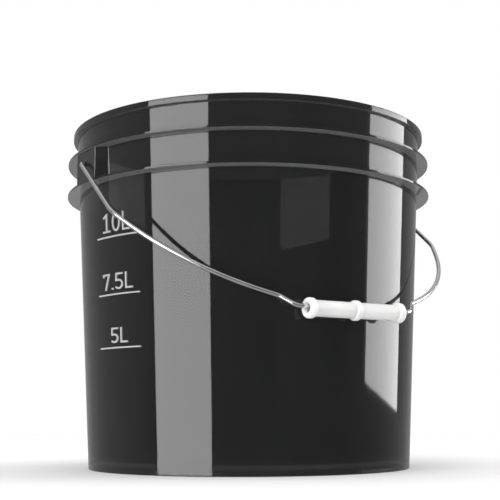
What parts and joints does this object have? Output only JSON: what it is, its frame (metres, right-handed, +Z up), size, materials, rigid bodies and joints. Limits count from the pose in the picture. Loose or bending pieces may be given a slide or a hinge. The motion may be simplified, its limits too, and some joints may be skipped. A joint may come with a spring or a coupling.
{
  "type": "wash bucket",
  "caption": "Smoked plastic wash bucket with a tapered wall, flanged mouth, raised volume marks and a swinging wire bail that carries a white roller grip.",
  "frame": {"origin": "centre of the pail's foot on the floor plane, which is the bottom centre of the part's box", "axes": "+Z up along the pail's axis, X through both ears and the bail's pivots, -Y the side where the bail leans at rest, and the volume marks beside the -X ear"},
  "size_m": [0.319, 0.3109, 0.28],
  "materials": {
    "smoked_plastic": "glossy moulded polypropylene, dark smoked grey, lets a little light through",
    "zinc_wire": "bright zinc-plated steel wire",
    "white_plastic": "satin white moulded polyethylene"
  },
  "bodies": {
    "pail": {"pail": "smoked_plastic"},
    "bail": {"bail_wire": "zinc_wire"},
    "grip": {"hand_grip": "white_plastic"}
  },
  "joints": [
    {"name": "bail_swing", "type": "hinge", "parent": "pail", "child": "bail", "pos_m": [0, 0, 0.2424], "axis": [-1, 0, 0], "range_deg": [0, 258.5]},
    {"name": "grip_spin", "type": "hinge", "parent": "bail", "child": "grip", "pos_m": [0, -0.14797, 0.12006], "axis": [1, 0, 0], "continuous": true}
  ]
}
